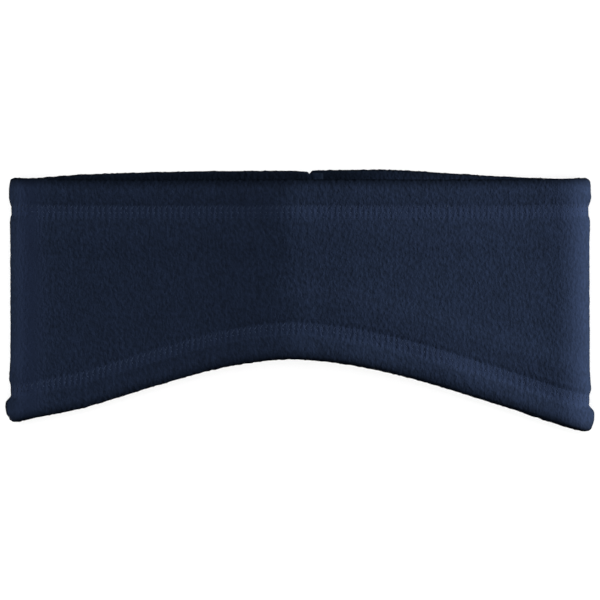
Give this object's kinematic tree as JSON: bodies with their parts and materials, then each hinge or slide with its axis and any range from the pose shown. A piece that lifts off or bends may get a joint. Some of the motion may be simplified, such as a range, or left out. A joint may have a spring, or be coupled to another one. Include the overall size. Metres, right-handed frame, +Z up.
{
  "type": "ear warmer headband",
  "caption": "Contoured fleece ear warmer headband, a closed loop with turned, coverstitched edges, lying flat with its front over its back.",
  "frame": {"origin": "middle of the part's footprint, on the surface that the back of the band lies on", "axes": "+X along the band to the wearer's side folds, +Y from the contoured lower edge to the straight upper edge, +Z up through the back layer and then the front layer"},
  "size_m": [0.2436, 0.1082, 0.0233],
  "materials": {
    "navy_fleece": "matte",
    "overlocked_fleece": "matte"
  },
  "bodies": {
    "root": {"band_body": "navy_fleece", "top_hem": "navy_fleece", "bottom_hem": "navy_fleece", "back_seam": "overlocked_fleece"}
  },
  "joints": []
}
